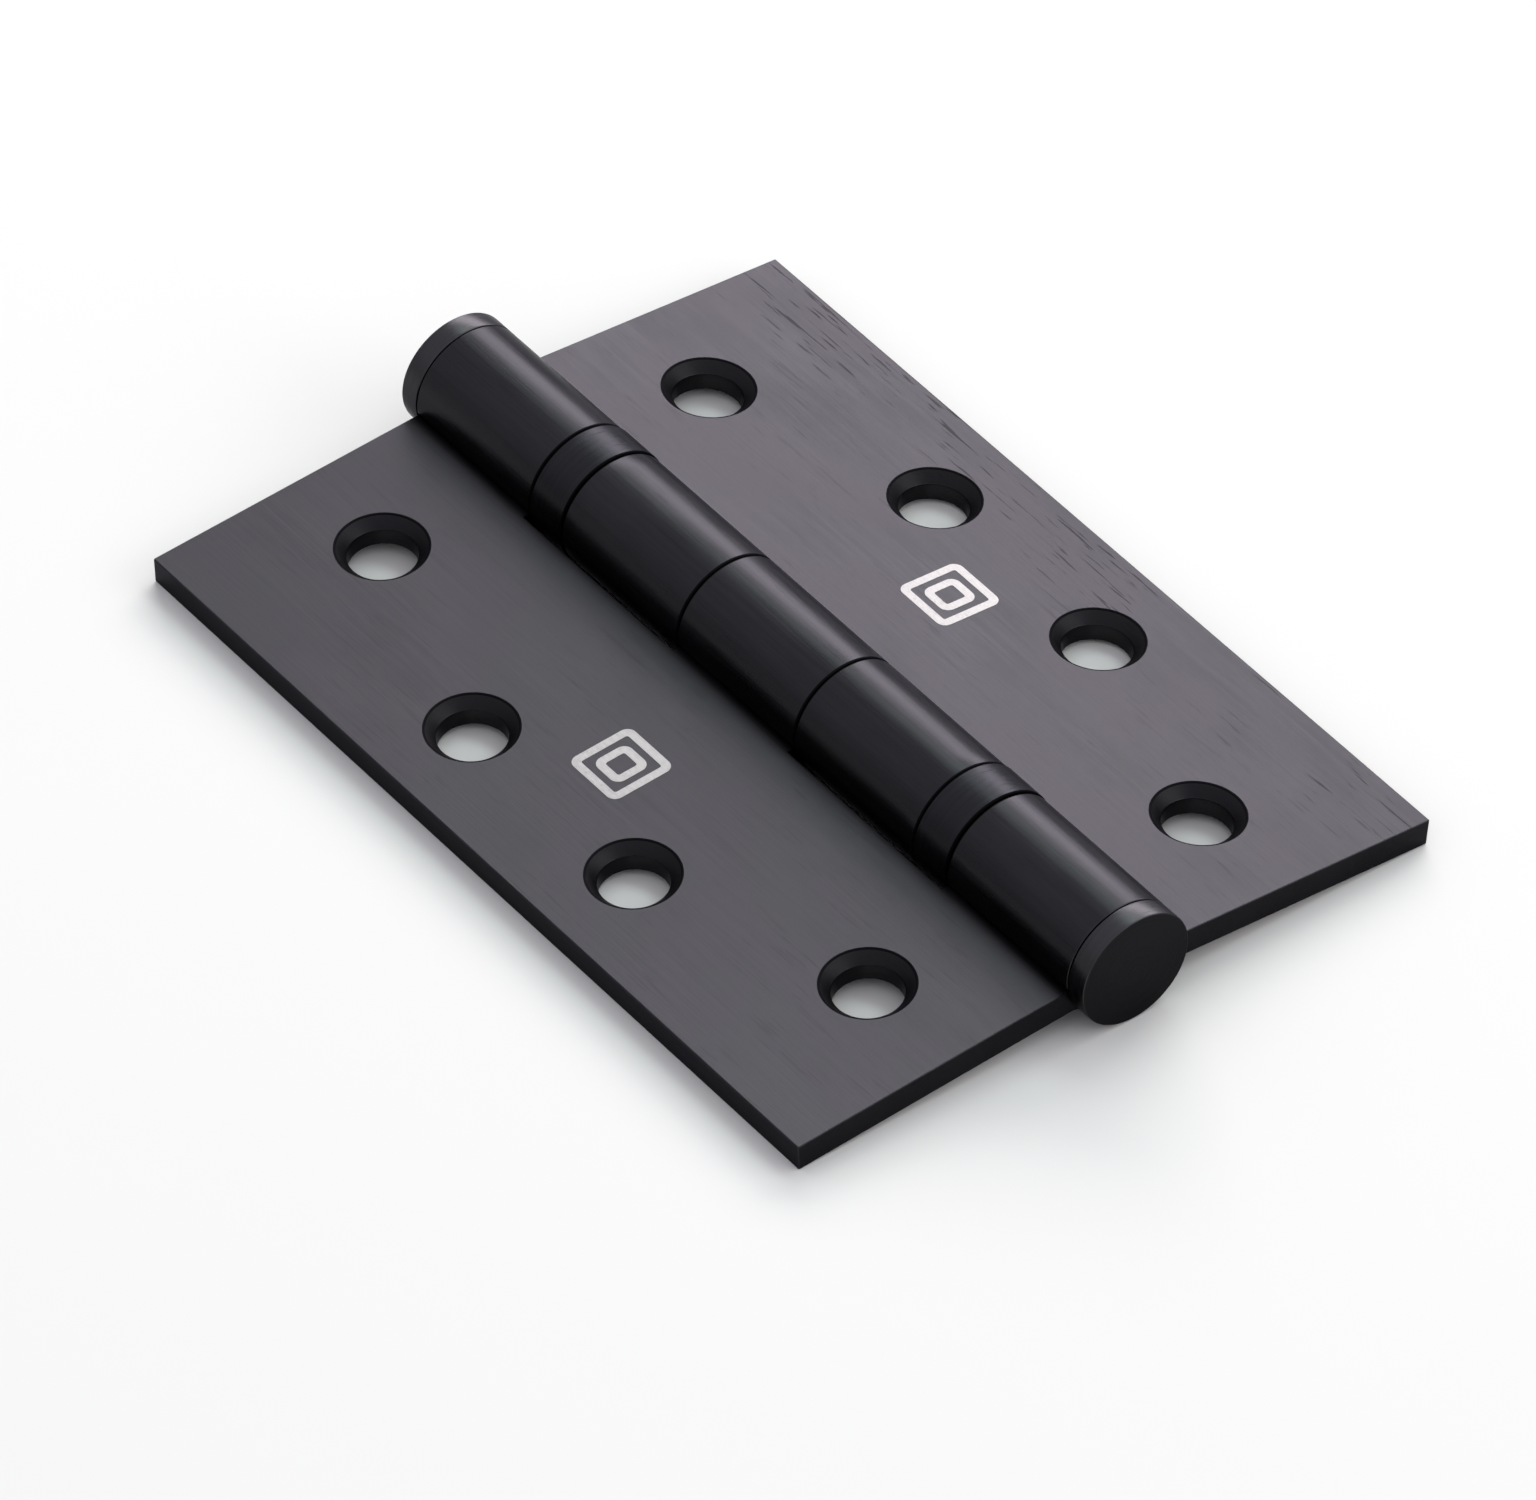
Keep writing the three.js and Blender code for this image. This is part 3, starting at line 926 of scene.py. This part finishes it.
BLACK_EDGE = (0.55, 0.55, 0.57)
leaf_finish = finish(
    "black_leaf_brushed_along_pin",
    dark=(0.0344, 0.0318, 0.0352),
    light=(0.0432, 0.0400, 0.0442),
    roughness=0.42,
    grain=(0.16, 9.0),
    edge_tint=BLACK_EDGE,
    worn=(0.06, 0.058, 0.06),
    cast=(0.0378, 0.0360, 0.0392),
    painted_light_drift=0.3,
    barrel_tone_and_side_shade=((0.0215, 0.0209, 0.0228), (0.0270, 0.0262, 0.0284)),
    scratches=0.48,
    wear=0.2,
    painted_end_shade=0.3,
    scratched_side=(27.0, 33.0),
)
cap_finish = finish(
    "black_cap_turned",
    dark=(0.0365, 0.0356, 0.0374),
    light=(0.0440, 0.0430, 0.0452),
    roughness=0.32,
    grain=(0.12, 14.0),
    is_turned=True,
    edge_tint=BLACK_EDGE,
    worn=(0.05, 0.05, 0.052),
    wear=0.15,
    scratches=0.1,
    painted_end_shade=0.63,
)
shell_finish = finish(
    "black_shell_turned",
    dark=(0.0176, 0.0174, 0.0194),
    light=(0.0224, 0.0222, 0.0246),
    roughness=0.32,
    grain=(0.12, 14.0),
    is_turned=True,
    edge_tint=BLACK_EDGE,
    worn=(0.05, 0.05, 0.052),
    wear=0.15,
    scratches=0.2,
)
pin_finish = finish(
    "ground_pin_steel",
    dark=(0.34, 0.34, 0.35),
    light=(0.46, 0.46, 0.47),
    roughness=0.32,
    grain=(0.08, 5.0),
    is_turned=True,
    worn=(0.6, 0.6, 0.6),
)
race_finish = finish(
    "ground_race_steel",
    dark=(0.42, 0.42, 0.43),
    light=(0.54, 0.54, 0.55),
    roughness=0.26,
    grain=(0.07, 8.0),
    is_turned=True,
    worn=(0.65, 0.65, 0.65),
)
ball_finish = finish(
    "polished_ball_steel",
    dark=(0.62, 0.63, 0.64),
    light=(0.74, 0.75, 0.76),
    roughness=0.12,
    grain=(0.3, 0.3),
    worn=(0.75, 0.75, 0.75),
    bump=0.0006,
)
cage_finish = finish(
    "stamped_cage_brass",
    dark=(0.48, 0.33, 0.13),
    light=(0.62, 0.45, 0.20),
    roughness=0.36,
    grain=(0.12, 1.2),
    edge_tint=(1.0, 0.9, 0.7),
    worn=(0.7, 0.52, 0.26),
)
label_finish = finish(
    "etched_bare_steel",
    dark=(0.192, 0.184, 0.181),
    light=(0.278, 0.267, 0.263),
    roughness=0.5,
    grain=(0.10, 0.6),
    edge_tint=(0.9, 0.9, 0.9),
    worn=(0.31, 0.30, 0.295),
    scratches=0.1,
)

# ---------------------------------------------------------------- the hinge

HALF_KNUCKLE = (LEAF_TOP - LEAF_BOTTOM - 2 * BEARING_HEIGHT - SEAM_COUNT * SEAM) / (
    2 * KNUCKLE_COUNT
)
MIDDLE_END = HALF_KNUCKLE + (SEAM - SHOWN_SEAM) / 2
HALF_BEARING = BEARING_HEIGHT / 2
LEFT_KNUCKLES = [
    (LEAF_BOTTOM, LOWER_MIDDLE - HALF_BEARING - SHOWN_SEAM),
    (-MIDDLE_END, MIDDLE_END),
    (UPPER_MIDDLE + HALF_BEARING + SHOWN_SEAM, LEAF_TOP),
]
RIGHT_KNUCKLES = [
    (LOWER_MIDDLE + HALF_BEARING + SHOWN_SEAM, -MIDDLE_END - SHOWN_SEAM),
    (MIDDLE_END + SHOWN_SEAM, UPPER_MIDDLE - HALF_BEARING - SHOWN_SEAM),
]

on_axis = Matrix.Translation(AXIS)


def make_leaf(side, knuckles):
    """One leaf and its label. Both meshes hold the leaf's slope."""
    slope = leaf_slope(side == "left")
    plate, label = leaf_mesh(knuckles), label_mesh()
    plate.transform(slope)
    label.transform(slope)
    finish_piece(
        side + "_leaf_rolled_plate",
        plate,
        side + "_leaf",
        leaf_finish,
        ["leaf_" + side],
        on_axis,
    )
    finish_piece(
        side + "_leaf_blank_label",
        label,
        side + "_leaf",
        label_finish,
        place=on_axis,
        smooth=False,
    )


def make_cap(end, turned_over):
    """A button cap, which rides with the left leaf."""
    finish_piece(
        end + "_button_cap",
        turned(cap_profile(), CAP_EDGE, turned_over=turned_over, mark=SLIGHTLY_RUBBED),
        "left_leaf",
        cap_finish,
        [end + "_cap"],
        on_axis,
    )


def make_bearing(end, middle, turned_over):
    """A bearing's shell, races, cage and balls. Turned over, its open end is towards -Y."""
    bearing = end + "_bearing"
    place = on_axis @ Matrix.Translation((0, middle * MM, 0))
    for part, profile, radius, mark, body, material, slot in (
        ("shell", shell_profile(), SHELL_EDGE, SHADED, "right_leaf", shell_finish, "black_shell"),
        ("seat_race", seat_race_profile(), RACE_EDGE, RUBBED, "right_leaf", race_finish, "race_steel"),
        ("cover_race", cover_race_profile(), RACE_EDGE, RUBBED, "left_leaf", race_finish, "race_steel"),
    ):
        finish_piece(
            end + "_" + part,
            turned(profile, radius, turned_over=turned_over, mark=mark),
            body,
            material,
            [bearing + "_" + part],
            place,
        )
    finish_piece(
        end + "_cage",
        cage_mesh(-BALL_LEVEL if turned_over else BALL_LEVEL),
        end + "_ball_set",
        cage_finish,
        [bearing + "_cage"],
        place,
    )
    for number in range(1, BALL_COUNT + 1):
        node = f"{bearing}_ball_{number:02d}"
        low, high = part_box(node)
        finish_piece(
            f"{end}_ball_{number:02d}",
            ball_mesh(),
            end + "_ball_set",
            ball_finish,
            [node],
            Matrix.Translation((low + high) / 2),
        )


make_leaf("left", LEFT_KNUCKLES)
make_leaf("right", RIGHT_KNUCKLES)
finish_piece(
    "pin",
    turned(pin_profile(), PIN_EDGE),
    "left_leaf",
    pin_finish,
    ["hinge_pin"],
    on_axis,
)
make_cap("top", False)
make_cap("bottom", True)
make_bearing("upper", UPPER_MIDDLE, False)
make_bearing("lower", LOWER_MIDDLE, True)

# ---------------------------------------------------------------- floor, lights and camera

FLOOR_HALF = 4.0
FLOOR_COLOUR = (0.586, 0.574, 0.55)
FLOOR_ROUGHNESS = 0.9

SKY_STRENGTH = 2.0
SKY_TINT = (0.90, 0.91, 1.0)
# How bright the sky is at each height, from 0 at the horizon to 1 overhead
SKY_LEVELS = [(0.0, 0.26), (0.6, 0.52), (0.86, 0.54), (0.98, 0.6)]


def make_floor():
    """A plain matt square at z = 0."""
    paint = bpy.data.materials.new("pale_floor")
    paint.use_nodes = True
    shader = paint.node_tree.nodes["Principled BSDF"]
    shader.inputs["Base Color"].default_value = (*FLOOR_COLOUR, 1)
    shader.inputs["Roughness"].default_value = FLOOR_ROUGHNESS
    shader.inputs["Specular IOR Level"].default_value = 0.0
    mesh = bpy.data.meshes.new("floor")
    signs = ((-1, -1), (1, -1), (1, 1), (-1, 1))
    mesh.from_pydata([(x * FLOOR_HALF, y * FLOOR_HALF, 0) for x, y in signs], [], [(0, 1, 2, 3)])
    mesh.materials.append(paint)
    floor = bpy.data.objects.new("floor", mesh)
    bpy.context.scene.collection.objects.link(floor)


def make_sky():
    """A studio's soft light from all round, brighter overhead than at the horizon."""
    world = bpy.data.worlds.new("studio")
    world.use_nodes = True
    nodes, links = world.node_tree.nodes, world.node_tree.links
    sky = nodes["Background"]
    sky.inputs["Strength"].default_value = SKY_STRENGTH
    direction = nodes.new("ShaderNodeTexCoord")
    height = nodes.new("ShaderNodeSeparateXYZ")
    fade = nodes.new("ShaderNodeValToRGB")
    stops = fade.color_ramp.elements
    for level_height, _ in SKY_LEVELS[1:-1]:
        stops.new(level_height)
    for stop, (level_height, level) in zip(stops, SKY_LEVELS):
        stop.position = level_height
        stop.color = (*(level * c for c in SKY_TINT), 1.0)
    links.new(direction.outputs["Generated"], height.inputs[0])
    links.new(height.outputs[2], fade.inputs[0])
    links.new(fade.outputs["Color"], sky.inputs["Color"])
    bpy.context.scene.world = world


def panel(name, azimuth, elevation, distance, width, height, radiance, colour):
    """A soft rectangular light that faces the middle of the floor. Angles are in degrees, with
    azimuth 0 at +X and 90 at +Y, and lengths are in metres."""
    a, e = math.radians(azimuth), math.radians(elevation)
    away = Vector((math.cos(a) * math.cos(e), math.sin(a) * math.cos(e), math.sin(e)))
    light = bpy.data.lights.new(name, "AREA")
    light.shape = "RECTANGLE"
    light.size, light.size_y = width, height
    light.energy = radiance * math.pi * width * height
    light.color = colour
    lamp = bpy.data.objects.new(name, light)
    lamp.location = away * distance
    lamp.rotation_euler = away.to_track_quat("Z", "Y").to_euler()
    bpy.context.scene.collection.objects.link(lamp)


make_floor()
make_sky()
panel(
    "key",
    azimuth=39,
    elevation=27,
    distance=1.5,
    width=1.5,
    height=0.56,
    radiance=9.8,
    colour=(1.0, 0.94, 0.97),
)
panel(
    "high",
    azimuth=18,
    elevation=58,
    distance=3.0,
    width=3.0,
    height=0.9,
    radiance=3.75,
    colour=(0.80, 1.0, 0.92),
)
panel(
    "front",
    azimuth=-50,
    elevation=28,
    distance=1.5,
    width=1.5,
    height=0.6,
    radiance=2.5,
    colour=(1.0, 0.97, 0.97),
)

# The camera, with sensor and lens in millimetres and distances in metres. It faces the leaf's
# joint on the pin's axis, and is then moved sideways and up by the two aims without turning.
SENSOR = 36.0
LENS = 338.0
CLIP_END = 20.0
DISTANCE = 1.3779
AZIMUTH = math.radians(-38.98)
ELEVATION = math.radians(42.31)
ROLL = math.radians(1.909)
AIM_RIGHT = -0.00155
AIM_UP = -0.0085


def make_camera():
    """The view from which the hinge is drawn at rest."""
    level = math.cos(ELEVATION)
    back = Vector((math.sin(AZIMUTH) * level, -math.cos(AZIMUTH) * level, math.sin(ELEVATION)))
    right = Vector((math.cos(AZIMUTH), math.sin(AZIMUTH), 0))
    up = back.cross(right)
    lens = bpy.data.cameras.new("camera")
    lens.sensor_width = SENSOR
    lens.lens = LENS
    lens.clip_end = CLIP_END
    camera = bpy.data.objects.new("camera", lens)
    bpy.context.scene.collection.objects.link(camera)
    turn = Matrix((right, up, back)).transposed() @ Matrix.Rotation(ROLL, 3, "Z")
    place = AXIS + back * DISTANCE + right * AIM_RIGHT + up * AIM_UP
    camera.matrix_world = Matrix.Translation(place) @ turn.to_4x4()
    bpy.context.scene.camera = camera


make_camera()
bpy.context.scene.view_settings.view_transform = "Standard"

bpy.context.view_layer.update()
